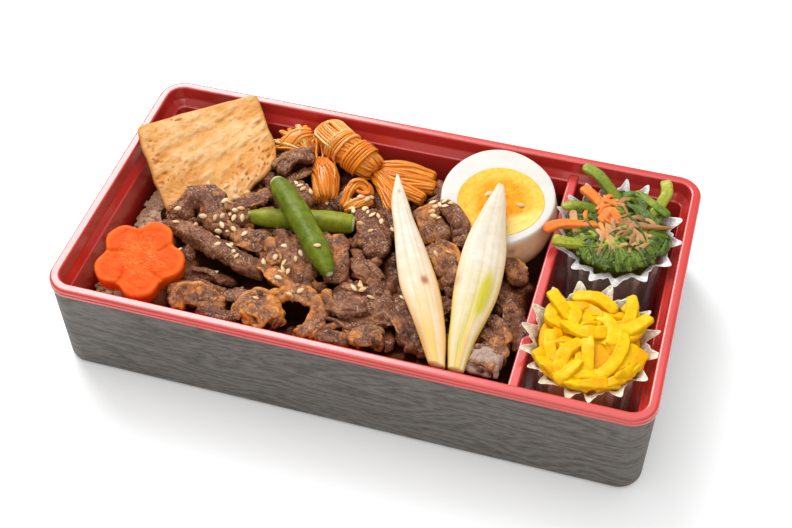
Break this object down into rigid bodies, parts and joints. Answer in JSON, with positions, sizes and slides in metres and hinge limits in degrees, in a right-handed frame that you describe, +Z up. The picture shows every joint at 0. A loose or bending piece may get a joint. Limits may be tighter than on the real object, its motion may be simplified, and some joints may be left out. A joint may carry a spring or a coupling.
{
  "type": "sukiyaki bento",
  "caption": "Sukiyaki bento in a red-lipped grey box: beef on rice with fried tofu, noodles, leek, green beans, carrot flower and half an egg, and greens and yellow pickle in film cups.",
  "frame": {"origin": "centre of the underside of the box", "axes": "+X along the length towards the two cups, +Y to the far long side, +Z up"},
  "size_m": [0.227, 0.1224, 0.0518],
  "materials": {
    "grey_board": "satin",
    "red_plastic": "gloss",
    "rice": "satin",
    "beef": "satin",
    "fried_tofu": "matte",
    "carrot": "satin",
    "green_bean": "gloss",
    "leek": "satin",
    "shirataki": "gloss",
    "egg_white": "satin",
    "egg_yolk": "matte",
    "film": "gloss",
    "greens": "satin",
    "pickle": "gloss"
  },
  "bodies": {
    "root": {"outer_box": "grey_board", "tray": "red_plastic", "rice": "rice", "beef": "beef", "tofu": "fried_tofu", "carrot": "carrot", "bean_over": "green_bean", "bean_under": "green_bean", "leek_left": "leek", "leek_right": "leek", "shirataki_knot": "shirataki", "shirataki_mass": "shirataki", "shirataki_small": "shirataki", "shirataki_left": "shirataki", "egg_white": "egg_white", "egg_yolk": "egg_yolk", "cup_greens": "film", "cup_pickle": "film", "greens": "greens", "pickle": "pickle"}
  },
  "joints": []
}
